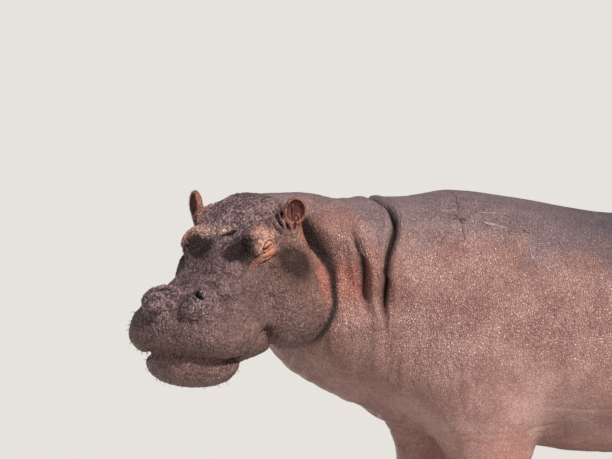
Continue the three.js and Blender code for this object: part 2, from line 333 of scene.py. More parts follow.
# Back edge of the cheek as seen from the head's side: how far forward it lies at each height.
CHEEK_EDGE = profile([(-380, -330), (-300, -318), (-230, -296), (-170, -280), (-120, -270), (-58, -252),
                      (24, -222), (70, -212)])
HOLLOW = 60.0            # depth of the neck's valley behind that edge


def hollow_depth(h):
    """How much the neck draws back from the cheek's edge, less on the side that the turn stretches."""
    ahead = h[:, 0] - CHEEK_EDGE(h[:, 2])
    depth = band(ahead, -72, -8, 110, 200) * smooth(np.abs(h[:, 1]), 90, 170)
    depth *= band(h[:, 2], -400, -270, 50, 110)
    return depth * np.where(h[:, 1] > 0, 1.0, 0.35)


# Boxes that hold a mass and all that its blends reach.
NEAR_HEAD = ((-1560, -800, 640), (-480, 420, 1700))
NEAR_NECK = ((-1200, -600, 500), (200, 600, 1650))
NEAR_FORELEG = ((-330, -640, -90), (360, 0, 980))
NEAR_HINDLEG = ((950, -640, -90), (1720, 0, 980))
NEAR_TAIL = ((1480, -200, 560), (1960, 200, 1250))


def head_field(p):
    """Head with its jaw and ears. The lips meet in a crease, and so do the cheek and the neck."""
    h = to_head(p)
    skull, jaw, cheek = upper_head(h), lower_jaw(h), cheeks(h)
    lips = soften(skull, jaw, 16) + crease(skull, jaw, 13, 13)
    total = soften(lips, ear_lobe(to_ear(h)), 14)
    return total + crease(cheek, neck(p), 18, 28)


def leg_pair(box, leg):
    """Left leg and its mirror image."""
    one = within(*box, leg)
    return lambda p: one(own_side(p) * [1, -1, 1])


head_part = within(*NEAR_HEAD, head_field)
neck_part = within(*NEAR_NECK, lambda p: neck(p) + HOLLOW * hollow_depth(to_head(p)))
fore_pair = leg_pair(NEAR_FORELEG, foreleg)
hind_pair = leg_pair(NEAR_HINDLEG, hindleg)
tail_part = within(*NEAR_TAIL, tail)


def skin_field(p):
    """The whole animal. It is cut level at the ground."""
    throat = neck_part(p)
    body = soften(soften(trunk(p), fore_pair(p), 60), hind_pair(p), 60)
    body = soften(body, tail_part(p), 36)
    total = soften(head_part(p), soften(throat, body, 90), 24)
    return np.maximum(total, -p[:, 2])


# ------------------------------------------------------------------ growing the skin
PITCH = 9.0                    # cell of the grid at the trunk
FINE = 0.5                     # and its share of that at the head
LENGTHS = (-1450.0, 1880.0)    # from the grid's front to its back
GROWS = (-620.0, -120.0)       # where its cells widen from the head's to the trunk's
HEAD_LEAN = (-235.0, 1115.0)   # middle of the head's grid, across and up
BODY_LEAN = (0.0, 715.0)       # and of the trunk's
ACROSS, UPWARD = 264, 208      # cells across and up
BLOCKS = (8, 2, 1)             # cells that are worked out as one, in three rounds


def pitch_share(x):
    return FINE + (1 - FINE) * smooth(x, *GROWS)


def grid_stations():
    stations = [LENGTHS[0]]
    while stations[-1] < LENGTHS[1]:
        stations.append(stations[-1] + PITCH * pitch_share(stations[-1]))
    return np.array(stations)


STATIONS = grid_stations()


def grid_place(index):
    """Where the nodes of the grid are: its cells narrow towards the head."""
    x = np.interp(index[:, 0], np.arange(len(STATIONS)), STATIONS)
    share, lean = pitch_share(x), smooth(x, *GROWS)
    y = HEAD_LEAN[0] * (1 - lean) + (index[:, 1] - ACROSS / 2) * PITCH * share
    z = HEAD_LEAN[1] + (BODY_LEAN[1] - HEAD_LEAN[1]) * lean
    z = z + (index[:, 2] - UPWARD / 2) * PITCH * share
    return np.column_stack([x, y, z])


def sampled(field):
    """The field at every node of the grid, worked out only near the surface."""
    counts = [-(-n // BLOCKS[0]) for n in (len(STATIONS), ACROSS, UPWARD)]
    values = np.full([n * BLOCKS[0] for n in counts], FAR, np.float32)
    corners = np.argwhere(np.ones(counts, bool)) * BLOCKS[0]
    for step, finer_step in zip(BLOCKS, BLOCKS[1:] + (0,)):
        place = grid_place(corners + (step - 1) / 2)
        found = field(place)
        for offset in product(range(step), repeat=3):
            values[tuple((corners + offset).T)] = found
        if finer_step:
            near = np.abs(found) < PITCH * pitch_share(place[:, 0]) * (step * 1.7 + 2)
            inner = range(0, step, finer_step)
            corners = (corners[near][:, None] + np.array(list(product(inner, repeat=3)))).reshape(-1, 3)
    return values


def surface(values):
    """Net of quads through the cells where the values change sign."""
    shape = np.array(values.shape)
    strides = np.array([shape[1] * shape[2], shape[2], 1])
    inside = values < 0
    cells, places, faces = [], [], []
    for axis in range(3):
        step = np.eye(3, dtype=int)[axis]
        lower = [slice(None)] * 3
        upper = [slice(None)] * 3
        lower[axis], upper[axis] = slice(None, -1), slice(1, None)
        at = np.argwhere(inside[tuple(lower)] != inside[tuple(upper)])
        at = at[(at > 0).all(1)]
        a, b = values[tuple(at.T)], values[tuple((at + step).T)]
        share = (a / (a - b))[:, None]
        crossing = grid_place(at) * (1 - share) + grid_place(at + step) * share
        u, v = np.eye(3, dtype=int)[(axis + 1) % 3], np.eye(3, dtype=int)[(axis + 2) % 3]
        ring = [at, at - u, at - u - v, at - v]
        quad = np.stack([corner @ strides for corner in ring], 1)
        faces.append(np.where((a < 0)[:, None], quad, quad[:, ::-1]))
        cells += [corner @ strides for corner in ring]
        places += [crossing] * 4
    names, order = np.unique(np.concatenate(cells), return_inverse=True)
    places = np.concatenate(places)
    count = np.bincount(order)
    points = np.column_stack([np.bincount(order, places[:, i]) / count for i in range(3)])
    return points, np.searchsorted(names, np.concatenate(faces))


def slope_of(field, p, reach=0.5):
    """Value and gradient of a field."""
    value = field(p)
    steps = np.eye(3) * reach
    return value, np.column_stack([(field(p + step) - value) / reach for step in steps])


def settled(field, p, rounds, most=8.0):
    """Points moved onto the surface of the field."""
    for _ in range(rounds):
        value, slope = slope_of(field, p)
        move = slope * (value / np.maximum((slope ** 2).sum(1), 0.04))[:, None]
        p = p - move * np.minimum(1, most / np.maximum(length_of(move), 1e-9))[:, None]
    return p


def evened(p, edges, normals, rounds=3, share=0.5):
    """Points slid along the surface towards the middle of their neighbours."""
    a, b = edges.T
    count = np.bincount(np.concatenate([a, b]), minlength=len(p))
    for _ in range(rounds):
        around = np.column_stack([
            np.bincount(np.concatenate([a, b]), np.concatenate([p[b, i], p[a, i]]), len(p))
            for i in range(3)
        ]) / np.maximum(count, 1)[:, None]
        move = around - p
        move -= normals * (move * normals).sum(1)[:, None]
        p = p + move * share
    return p


# ------------------------------------------------------------------ mesh helpers
def mesh_points(mesh):
    flat = np.empty(len(mesh.vertices) * 3)
    mesh.vertices.foreach_get("co", flat)
    return flat.reshape(-1, 3)


def set_points(mesh, points):
    mesh.vertices.foreach_set("co", np.asarray(points, np.float32).ravel())
    mesh.update()


def mesh_edges(mesh):
    flat = np.empty(len(mesh.edges) * 2, np.int64)
    mesh.edges.foreach_get("vertices", flat)
    return flat.reshape(-1, 2)


def new_mesh(name, points, faces):
    """Mesh of points and faces, all with the same number of corners."""
    mesh = bpy.data.meshes.new(name)
    faces = np.asarray(faces)
    count, corners = faces.shape
    mesh.vertices.add(len(points))
    mesh.loops.add(count * corners)
    mesh.polygons.add(count)
    mesh.vertices.foreach_set("co", np.asarray(points, np.float32).ravel())
    mesh.loops.foreach_set("vertex_index", faces.ravel().astype(np.int32))
    mesh.polygons.foreach_set("loop_start", np.arange(0, count * corners, corners, dtype=np.int32))
    mesh.update(calc_edges=True)
    return mesh


def show(name, mesh, material):
    """Piece of the animal that rides on its only body."""
    mesh.polygons.foreach_set("use_smooth", np.ones(len(mesh.polygons), bool))
    mesh.materials.append(material)
    piece = bpy.data.objects.new(name, mesh)
    bpy.context.scene.collection.objects.link(piece)
    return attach(piece, "root")


def finer(mesh, wanted):
    """The mesh with the edges between wanted vertices cut in half."""
    work = bmesh.new()
    work.from_mesh(mesh)
    edges = [e for e in work.edges if wanted[e.verts[0].index] and wanted[e.verts[1].index]]
    bmesh.ops.subdivide_edges(work, edges=edges, cuts=1, use_grid_fill=True, use_single_edge=True)
    work.to_mesh(mesh)
    work.free()
    mesh.update()


# ------------------------------------------------------------------ random relief
LATTICE = 32


def cloud(points, size, seed):
    """Smooth random value between -1 and 1 whose lumps are about size across."""
    lattice = np.random.default_rng(seed).uniform(-1, 1, (LATTICE,) * 3)
    at = points / np.asarray(size, float)
    low = np.floor(at).astype(int)
    part = at - low
    part = part * part * (3 - 2 * part)
    total = 0
    for corner in product((0, 1), repeat=3):
        weight = np.prod(np.where(corner, part, 1 - part), axis=1)
        total = total + weight * lattice[tuple(((low + corner) % LATTICE).T)]
    return total


def furrows(points, size, seed, thin=0.16):
    """Winding lines, 1 on a line and 0 between, whose loops are about size across."""
    return bump(cloud(points, size, seed), thin)


# ------------------------------------------------------------------ relief of the hide
EYE_SLIT = np.array([9.0, 4.0])            # middle of the opening, forward and up of the eye line
EYE_SLIT_SIZE = np.array([26.0, 8.5])
LID_CREASE = np.array([-1.0, 1.0])          # middle of the creases round the lids
LID_CREASE_SIZE = np.array([38.0, 26.0])
LID_COVER = 4.0                             # thickness of the lids over the eyeball
TEAR_ROLL = [(-44, -10), (-34, -23), (-2, -27), (32, -29), (54, -38), (76, -50), (108, -72)]
CUP_MIDDLE = np.array([0.0, 3.0])           # of the ear's mouth, across and up
CUP_SIZE = np.array([35.0, 44.0])           # its half width and half height
CUP_DEPTH = 24.0
NOSTRIL = [(352, 52), (378, 60), (405, 78), (420, 104)]    # from above, forward and to the side


def eye_distance(h):
    return length_of(own_side(h) - [0, EYE_SPREAD, EYE_RISE])


def cup_level(e):
    """Distance from the middle of the ear's mouth, 1 at its edge."""
    return length_of((e[:, 1:] - CUP_MIDDLE) / CUP_SIZE)


def ring_level(h, middle, size):
    """Distance from an oval's middle on the side of the head, 1 on the oval."""
    return length_of((h[:, [0, 2]] - middle) / size)


def brow_relief(h):
    """Folds of the lids and the rays behind them, and where the tear roll lies."""
    side = smooth(np.abs(h[:, 1]), 96, 124)
    ring = ring_level(h, LID_CREASE, LID_CREASE_SIZE)
    above = smooth(h[:, 2], -12, 4)
    out = 3.2 * bump(ring - 0.68, 0.2) * above
    out -= 4.2 * bump(ring - 1.0, 0.085) * above
    out += 2.6 * bump(ring - 1.2, 0.12) * above
    out -= 2.0 * bump(ring - 1.43, 0.07) * above * smooth(-h[:, 0], -26, 4)
    out += 2.4 * bump(ring - 0.62, 0.2) * (1 - above)
    distance, share = along_path(h[:, [0, 2]], TEAR_ROLL)
    taper = band(share, 0, 0.12, 0.6, 1)
    waver = 3.5 * cloud(h, 17, 38)
    narrow = 1 - 0.35 * smooth(share, 0.5, 1)
    out += 9.0 * bump(distance, 12.5 * narrow) * taper
    out -= 5.0 * bump(distance - 19 * narrow, 4) * taper
    out -= 7.0 * bump(distance - 2 + waver, 3.2) * smooth(share, 0.26, 0.42) * taper
    out -= 5.0 * bump(distance - 10 - waver, 3.0) * smooth(share, 0.4, 0.56) * taper
    rays = np.cos(22 * np.arctan2(h[:, 2] - 4, h[:, 0] + 60))
    out -= 1.12 * np.abs(rays) * bump(ring - 1.7, 0.5) * smooth(-h[:, 0], 20, 60)
    roll = bump(distance, 13 * narrow) * taper * (1 - 0.55 * share)
    return side * out, side * roll


# The knot between the eyes: a slanting ridge and the fold before it, forward and to the left.
KNOT_RIDGE = [(12, -34), (3, -19), (-9, -6), (-24, 12)]
KNOT_FOLD = [(20, -22), (15, -4), (10, 11), (-1, 27), (-16, 36)]
WARTS = [(-103, 133, 6.5), (-180, 91, 9), (-60, 70, 6), (-140, -110, 7), (30, -60, 6)]


def forehead_relief(h):
    """Knot of folds between the eyes, hollows before the brows, and small rings and warts."""
    x, y, z = h.T
    top = smooth(z, -30, 10)
    near, share = along_path(h[:, :2], KNOT_RIDGE)
    out = 12.0 * bump(near, 10) * band(share, 0, 0.2, 0.8, 1)
    near, share = along_path(h[:, :2], KNOT_FOLD)
    out -= 14.0 * bump(near, 6.5) * band(share, 0, 0.25, 0.75, 1)
    out += 5.0 * bump(np.hypot(x - 26, y - 8), 12)
    out -= 19.0 * bump(np.hypot(x - 84, np.abs(y) - 82), 42)
    out -= 3.0 * bump(y, 16) * band(-x, 30, 70, 150, 210)
    for ahead, aside, size in WARTS:
        around = np.hypot(x - ahead, y - aside)
        out += 2.6 * bump(around, size) - 1.8 * bump(around - size * 1.6, size * 0.45)
    return out * top


EAR_FOLDS = [
    # path from above the brow down to the ear's root, depth, width
    ([(-222, 100, 98), (-180, 143, 85), (-150, 164, 73), (-126, 193, 48), (-124, 206, 12)], 11.0, 6.0),
    ([(-172, 110, 94), (-152, 130, 84), (-129, 156, 65), (-116, 181, 43), (-114, 194, 22)], 9.0, 5.5),
    ([(-122, 132, 66), (-96, 158, 49), (-96, 170, 41), (-100, 188, 20)], 7.0, 5.0),
    ([(-150, 70, 104), (-118, 100, 84), (-96, 122, 66), (-78, 146, 44)], 4.5, 4.5),
]


def ear_fold_relief(h):
    """Slanting folds between the brow and the front of each ear's root."""
    waver = np.column_stack([cloud(h, 30, seed) for seed in (11, 12, 13)])
    out = 0
    for path, depth, width in EAR_FOLDS:
        distance, share = along_path(own_side(h) + 5 * waver, path)
        lip = 0.5 * bump(distance - 2.1 * width, width)
        out = out + depth * band(share, 0, 0.2, 0.8, 1) * (lip - bump(distance, width))
    return out


def muzzle_relief(h):
    """Lip furrows, nostrils and the pads that hold the bristles."""
    x, y, z = h.T
    front = smooth(x, 190, 300)
    distance, share = along_path(own_side(h)[:, :2], NOSTRIL)
    top = smooth(z, -160, -100)
    out = top * (9 * bump(distance - 22, 11) - 27 * bump(distance, 10.5) * smooth(share, 0, 0.2))
    out += 1.2 * cloud(h, 17, 21) * front * smooth(-z, 90, 170)
    lips = smooth(x, 20, 130) * (1 - front) * smooth(-z, 60, 130)
    out -= 2.6 * furrows(h, (90, 24, 60), 22, 0.15) * lips
    out -= 2.2 * furrows(h, (26, 90, 70), 23, 0.14) * band(x, 110, 200, 330, 370) * top
    return out


def head_relief(p, h):
    """All relief of the head and where the tear roll lies."""
    lids, tear = brow_relief(h)
    warped = h + 9 * np.column_stack([cloud(h, 26, seed) for seed in (34, 35, 36)])
    skin = 2.5 * furrows(warped, (27, 17, 22), 31, 0.16) + 1.5 * furrows(warped, (13, 8, 11), 32, 0.2)
    skin -= 1.5 * cloud(warped, (15, 9, 12), 37)
    quiet = 1 - 0.75 * bump(ring_level(h, LID_CREASE, LID_CREASE_SIZE), 1.1)
    ear = to_ear(h)
    out = lids + forehead_relief(h) + muzzle_relief(h) + 1.6 * cloud(h, 70, 33) - skin * quiet
    out *= smooth(ear_lobe(ear), 2, 16)
    return out + ear_fold_relief(h) * smooth(ear_cap(ear), 4, 14), tear


def round_neck(p):
    """How far down the side of the neck a point lies, from the midline of its top."""
    return 1400 - p[:, 2] + 0.35 * np.abs(p[:, 1])


def fold_line(p, line):
    """Distance behind a fold whose place along the body changes down the side."""
    down = round_neck(p)
    lean = (line(down + 5) - line(down - 5)) / 10
    return (p[:, 0] - line(down)) / np.sqrt(1 + lean ** 2)


# Folds of the neck: how far back each lies at each distance down the side.
COLLAR = profile([(0, -325), (25, -320), (62, -304), (112, -303), (167, -316), (236, -348), (300, -374),
                  (390, -392), (640, -398), (790, -368)])
NECK_FOLD = profile([(150, -484), (213, -481), (296, -476), (360, -468), (640, -440), (800, -420)])


def collar_depth(p):
    """Deep fold where the shoulders overlap the neck, 1 along its bottom."""
    down = round_neck(p)
    across = bump(fold_line(p, COLLAR), 10 + 2 * cloud(p, 40, 55))
    return across * fall(down, 330, 700) * (0.62 + 0.38 * smooth(down, 10, 70))


def neck_fold_depth(p):
    """Second fold, halfway along the neck, 1 along its bottom."""
    down = round_neck(p)
    return bump(fold_line(p, NECK_FOLD), 15) * band(down, 125, 230, 330, 620)


def neck_relief(p):
    """The two folds of the neck, the rolls beside them, fine rings and the creased throat."""
    x, y, z = p.T
    down = round_neck(p)
    behind, middle = fold_line(p, COLLAR), fold_line(p, NECK_FOLD)
    high = fall(down, 400, 760) * (0.35 + 0.65 * smooth(down, 40, 130))
    low = band(down, 125, 230, 380, 660)
    out = high * (14 * bump(behind + 36, 17) + 16 * bump(behind - 34, 19)) - 36 * collar_depth(p)
    out += low * (10 * bump(middle - 32, 15) + 9 * bump(middle + 30, 15)) - 19 * neck_fold_depth(p)
    rings = np.column_stack([x + 0.2 * np.abs(y), y, z])
    out -= (0.4 + 2.6 * smooth(down, 150, 260)) * furrows(rings, (46, 300, 260), 41, 0.13)
    out -= 1.1 * furrows(rings, (21, 120, 110), 42, 0.16)
    return out - 6 * furrows(rings, (64, 400, 400), 43, 0.16) * smooth(-z, -1080, -940)


def trunk_relief(p):
    """Lumps and wrinkles of the trunk, creases where the legs join it, and a line along the spine."""
    x, y, z = p.T
    low = smooth(-z, -760, -540)
    out = 3.5 * cloud(p, (240, 180, 160), 51) + 1.5 * cloud(p, 80, 52)
    out -= 2.0 * furrows(p, (60, 300, 220), 53, 0.13) * (0.45 + 0.55 * low)
    out -= 3.0 * furrows(p, (420, 420, 66), 54, 0.13) * low
    flank = bump(x - 1010 - 0.35 * (z - 620), 70) + bump(x - 300 + 0.2 * (z - 560), 60)
    out -= 9 * flank * low * smooth(z, 330, 470)
    out -= 4 * bump(y, 26) * smooth(z, 1150, 1260) * smooth(x, -60, 160)
    return out


def leg_relief(p):
    """Rings above the toes and soft creases where the legs bend."""
    z = p[:, 2]
    ankle = band(z, 96, 140, 250, 330)
    out = -3.2 * furrows(p, (260, 260, 44), 61, 0.16) * ankle
    out -= 2.2 * furrows(p, (90, 90, 50), 62, 0.15) * smooth(-z, -620, -520)
    return out


def toe_relief(p, name):
    """Fold of hide round each nail and clefts between the toes."""
    (x, y), sole = FEET[name]
    across = -np.abs(p[:, 1]) - y
    away = np.hypot(p[:, 0] - x, across)
    turn = np.arctan2(-across, x - p[:, 0])
    out = 0
    for angle, ahead, _ in toe_places(sole):
        sideways = away * np.sin(turn - angle)
        level = np.hypot(sideways / NAIL_SIZE[1], (p[:, 2] - NAIL_SIZE[2] - NAIL_LIFT) / NAIL_SIZE[2])
        ahead = np.cos(turn - angle) > 0.6
        out = out + 9.0 * bump(level - 1.2, 0.26) * ahead * smooth(p[:, 2], 2, 26)
    spacing = math.radians(TOE_FAN / (TOES - 1))
    cleft = np.mod(turn, spacing) * away
    cleft = np.minimum(cleft, spacing * away - cleft)
    between = (np.abs(turn) < spacing * (TOES - 1) / 2) * smooth(away, sole * 0.8, sole)
    return out - 9 * bump(cleft, 7) * between * fall(p[:, 2], 70, 120)


def hide_relief(p):
    """Outward relief of the hide in millimetres, and where the tear rolls lie."""
    x, z = p[:, 0], p[:, 2]
    h = to_head(p)
    crown = np.hypot(h[:, 0] + 245, h[:, 1])
    out, tear = 16 * bump(crown, 135) * smooth(h[:, 2], 20, 90), np.zeros(len(p))
    cheek = cheeks(h)
    head = fall(x, -560, -480) * (head_part(p) - neck_part(p) < 12)
    on_head = head > 0
    found, tears = head_relief(p[on_head], to_head(p[on_head]))
    out[on_head] += found * head[on_head]
    tear[on_head] = tears * head[on_head]
    on_neck = (x > -860) & (x < 60)
    share = band(x, -860, -720, -230, -20) * smooth(cheek, 0, 40)
    out[on_neck] += neck_relief(p[on_neck]) * share[on_neck]
    share = smooth(x, -300, -60)
    out += trunk_relief(p) * share * smooth(z, 60, 260)
    legs = share * (z < 640)
    on_legs = legs > 0
    out[on_legs] += leg_relief(p[on_legs]) * legs[on_legs]
    for name, ((ahead, _), _) in FEET.items():
        on_foot = (z < 130) & (np.abs(x - ahead) < 260)
        out[on_foot] += toe_relief(p[on_foot], name)
    return out * smooth(z, 0, 26), tear


def open_lids(p):
    """The skin over each eye, laid over the eyeball and opened in a slit."""
    h = to_head(p)
    near = (eye_distance(h) < 70) & (np.abs(h[:, 1]) > EYE_SPREAD - 24)
    part = h[near]
    side, out = np.sign(part[:, 1]), np.abs(part[:, 1])
    away = (part[:, 0] ** 2 + (part[:, 2] - EYE_RISE) ** 2) / EYE_RADIUS ** 2
    eyeball = EYE_SPREAD + EYE_RADIUS * np.sqrt(np.maximum(1 - away, 0))
    opening = ring_level(part, EYE_SLIT, EYE_SLIT_SIZE)
    lid = np.where(away < 1.2, np.maximum(out, eyeball + LID_COVER), out)
    lid = lid + 1.8 * bump(opening - 1.32, 0.3)
    depth = 1 - smooth(opening, 0.72, 1.16)
    inner = np.minimum(lid, eyeball - 9)
    part[:, 1] = side * (lid + (inner - lid) * depth)
    h[near] = part
    return from_head(h)


def open_ears(p):
    """The front of each ear, pressed in to a cup between a rolled rim and two folds of its root."""
    h = to_head(p)
    e = to_ear(h)
    across, up = e[:, 1], e[:, 2]
    cup = cup_level(e)
    front = smooth(e[:, 0], 1, 6) * (np.abs(e) < [60, 70, 90]).all(1)
    ridge = 9 * bump(across + 7 + 0.12 * up, 5) * band(up, -50, -30, 8, 30)
    ridge += 5 * bump(across - 12 + 0.3 * up, 4) * band(up, -46, -34, -22, -4)
    depth = (CUP_DEPTH * (1 - np.minimum(cup, 1) ** 4) - ridge * (cup < 1)) * (cup < 1)
    channel = 12 * bump(across - 3, 6) * band(-up, 30, 46, 58, 84)
    depth = np.maximum(depth, channel) - 3.2 * bump(cup - 1.1, 0.1)
    e[:, 0] -= depth * front
    pressed = e @ EAR_AXES.T + EAR_PLACE
    pressed[:, 1] *= np.sign(h[:, 1])
    near = front > 0
    lining = smooth(depth, 2, 9) * near
    rim = bump(np.maximum(cup - 1.1, 0), 0.35) * (ear_lobe(to_ear(h)) < 5) * (1 - lining)
    return np.where(near[:, None], from_head(pressed), p), lining, rim


def skin_zones(p):
    """Levels of detail: 0 for the grid's own, 1 and 2 where the faces are small."""
    h = to_head(p)
    eye = eye_distance(h)
    ear = (np.abs(to_ear(h)) < [46, 60, 76]).all(1)
    nostril = along_path(own_side(h)[:, :2], NOSTRIL)[0] < 40
    nostril &= (h[:, 2] > -190) & (h[:, 0] > 280)
    toes = (p[:, 2] < 125) & (np.abs(p[:, 1]) > 60)
    face = (h[:, 2] > -50) & (h[:, 0] > -235) & (h[:, 0] < 130)
    folds = (collar_depth(p) > 0.03) | (neck_fold_depth(p) > 0.1)
    first = (eye < 118) | ear | nostril | toes | face | folds & (p[:, 0] > -600)
    second = (eye < 50) & (np.abs(h[:, 1]) > EYE_SPREAD) | ear
    return first, second


def grown_skin():
    points, faces = surface(sampled(skin_field))
    mesh = new_mesh("skin", points, faces)
    _, slope = slope_of(skin_field, points)
    points = evened(points, mesh_edges(mesh), unit(slope), 2)
    set_points(mesh, settled(skin_field, points, 1))
    for level in range(2):
        wanted = skin_zones(mesh_points(mesh))[level]
        finer(mesh, wanted)
    points = mesh_points(mesh)
    close = skin_zones(points)[0]
    points[close] = settled(skin_field, points[close], 2)
    _, slope = slope_of(skin_field, points)
    normals = unit(slope)
    return mesh, points, normals


# ------------------------------------------------------------------ markings
# Round patches of the head: middle, size and strength. Those of a pair lie on both sides.
PALE_PAIRS = [((-138, 212, -25), 40, 1.3), ((-8, 146, 58), 34, 0.6), ((300, 150, -230), 90, 0.3)]
# Painted highlights: wet glare over the far orbit, and on the ridge of the knot between the eyes.
PAINTED_HIGHLIGHT_SPOTS = [((17, -86, 51), 44, 0.9), ((-7, -9, 57), 19, 1.0)]
DARK_PAIRS = [((-90, 228, -84), 84, 1.5)]
# Painted shade in the hollows between the snout's ridge and each orbit.
PAINTED_SHADE_SPOTS = [((98, -66, 4), 56, 0.6), ((60, 94, 26), 40, 1.1), ((84, 118, -12), 34, 1.0)]
ROSY_PAIRS = [((-192, 212, 4), 34, 1.0)]
CHEEK_PAIRS = [((-150, 240, -60), 130, 1.0)]
ORBIT = np.array([12.0, EYE_SPREAD - 6, 14.0])      # middle of the peach patch round each eye


def spots(points, places):
    return sum(strength * bump(length_of(points - middle), size) for middle, size, strength in places)


def painted_crest_highlights(p):
    """Painted highlight along the rolls beside the folds of the neck, where their wet crests catch the
    light.
    """
    down = round_neck(p)
    crests = bump(fold_line(p, COLLAR) - 34, 9) + bump(fold_line(p, NECK_FOLD) - 32, 10)
    return 0.16 * crests * band(down, 60, 130, 300, 420)


def rosy_hide(p, h, normals, behind_cheek, patchy, wavy):
    """Thin pink hide: the cheek's rear edge, the low neck, under the belly and behind each ear."""
    x, _, z = p.T
    backward = 0.12 * patchy + 0.26 * smooth(h[:, 2], -110, -30) - normals @ HEAD_AXES[:, 0]
    edge = smooth(backward, 0.1, 0.42) * behind_cheek * smooth(z, 900, 1100) * fall(h[:, 2], 30, 60)
    low_neck = smooth(-z + 40 * patchy, -1245, -1160) * smooth(z, 1000, 1150)
    low_neck *= band(x, -680, -600, -470, -400)
    under = smooth(-z + 40 * wavy, -640, -430) * fall(normals[:, 2], -0.2, 0.5)
    return edge + low_neck + 0.22 * under + spots(own_side(h), ROSY_PAIRS)


def painted_fold_shade(p, h, skull, throat, cheek):
    """Painted shade at the bottoms of the folds of the neck, and in the valley between the cheek and the
    neck.
    """
    z = p[:, 2]
    wide = 34 + 56 * smooth(z, 1100, 1290)
    valley = fall(skull / wide, 0.3, 1) * (throat < skull) * smooth(z, 880, 1060) * fall(z, 1362, 1400)
    valley *= np.where(h[:, 1] > 0, 1.0, 0.4)
    beside = crease(cheek, throat, 1.0, 24) * smooth(z, 700, 1000)
    collar, middle = 1.5 * collar_depth(p) ** 1.8, 0.95 * neck_fold_depth(p) ** 1.4
    return np.maximum.reduce([valley, beside, collar, middle])


def markings(p, normals, tear, deep, lining, rim):
    """Where each colour of the hide lies, each from 0 to 1."""
    h = to_head(p)
    side = own_side(h)
    x, _, z = p.T
    patchy, wavy = cloud(p, 70, 71), cloud(p, 210, 72)
    skull, throat, cheek = head_part(p), neck_part(p), cheeks(h)
    face = fall(x, -640, -560) * smooth(throat - skull, -14, 10)
    lower = face * fall(h[:, 2] + 0.25 * h[:, 0] + 20 * cloud(p, 70, 73), -70, 30)
    outer = face * smooth(side[:, 1], 92, 124)
    around = length_of(side - ORBIT) + 10 * patchy + 0.3 * h[:, 0]
    nape = band(x, -780, -640, -500, -370)
    # Hide that faces up takes the grey back colour: partly its own grey, partly painted sky reflection.
    grey_back_and_sky_sheen = smooth(normals[:, 2] + 0.12 * patchy + 0.1 * wavy - 0.28 * nape, 0.42, 0.86)
    bridge = bump(h[:, 1], 46) * band(h[:, 0], 40, 100, 200, 300)
    behind_cheek = bump(cheek, 16) * (skull < throat)
    folds = painted_fold_shade(p, h, skull, throat, cheek)
    # Painted shade where the relief presses the hide in, on the face and low on the feet.
    pressed = deep / 6.0 * np.maximum(face * (1 - 0.55 * lower), 0.8 * (z < 140))
    marks = {
        "grey_back_and_sky_sheen": grey_back_and_sky_sheen,
        "dusk": grey_back_and_sky_sheen * smooth(x + 60 * wavy, 60, 800),
        "grainy": smooth(z + 60 * wavy, 560, 1000),
        "face": face,
        "lower": lower,
        "peach": outer * fall(around, 38, 84),
        "lids": outer * fall(ring_level(h, LID_CREASE, LID_CREASE_SIZE), 0.8, 1.15),
        "tear": tear,
        "cheek": spots(side, CHEEK_PAIRS),
        # Partly pale hide, partly painted highlight on the knot between the eyes, over the far orbit and
        # along the rolls of the neck.
        "pale": spots(side, PALE_PAIRS) + spots(h, PAINTED_HIGHLIGHT_SPOTS) + (1 - face) * painted_crest_highlights(p),
        # Partly painted shade in the hollows beside the snout, partly near-black patches of hide.
        "dark_patches_and_shade": spots(side, DARK_PAIRS) + spots(h, PAINTED_SHADE_SPOTS) + 0.4 * bridge,
        "rosy": rosy_hide(p, h, normals, behind_cheek, patchy, wavy) + 0.7 * rim,
        "lining": lining,
        # The fold mark is painted shade: near black in creases, in the folds of the neck and in the valley
        # behind the cheek.
        "fold": np.maximum(folds, pressed) * (1 - lining),
    }
    return {name: np.clip(values, 0, 1) for name, values in marks.items()}


def give_marks(mesh, marks):
    for name, values in marks.items():
        layer = mesh.attributes.new(name, "FLOAT", "POINT")
        layer.data.foreach_set("value", values.astype(np.float32))


def build_skin():
    mesh, points, normals = grown_skin()
    height, tear = hide_relief(points)
    shaped = points + normals * height[:, None]
    shaped = open_lids(shaped)
    shaped, lining, rim = open_ears(shaped)
    shaped[:, 2] = np.maximum(shaped[:, 2], 0)
    set_points(mesh, to_frame(shaped))
    give_marks(mesh, markings(points, normals, tear, np.maximum(-height, 0), lining, rim))
    return mesh, shaped, normals


# ------------------------------------------------------------------ shader parts
def wire(tree, value, socket):
    """Give a socket a value, or link another socket to it."""
    if isinstance(value, bpy.types.NodeSocket):
        tree.links.new(value, socket)
    else:
        socket.default_value = value


def add(tree, kind, values=(), **settings):
    """Shader node with its settings, and its inputs by name or number."""
    made = tree.nodes.new("ShaderNode" + kind)
    for name, value in settings.items():
        setattr(made, name, value)
    for name, value in dict(values).items():
        wire(tree, value, made.inputs[name])
    return made


def maths(tree, operation, *values):
    return add(tree, "Math", enumerate(values), operation=operation).outputs[0]


def times(tree, first, second):
    return maths(tree, "MULTIPLY", first, second)


def scaled(tree, value, gain, base):
    """A value times a gain, with a base added."""
    return maths(tree, "MULTIPLY_ADD", value, gain, base)


def vectors(tree, operation, first, second, result="Vector"):
    return add(tree, "VectorMath", {0: first, 1: second}, operation=operation).outputs[result]


def stretched(tree, vector, gain):
    return add(tree, "VectorMath", {0: vector, "Scale": gain}, operation="SCALE").outputs[0]


def mixed(tree, share, low, high, blend="MIX"):
    """Colour between two others, or the second blended over the first."""
    values = {0: share, 6: low if isinstance(low, bpy.types.NodeSocket) else (*low, 1),
              7: high if isinstance(high, bpy.types.NodeSocket) else (*high, 1)}
    return add(tree, "Mix", values, data_type="RGBA", blend_type=blend).outputs[2]


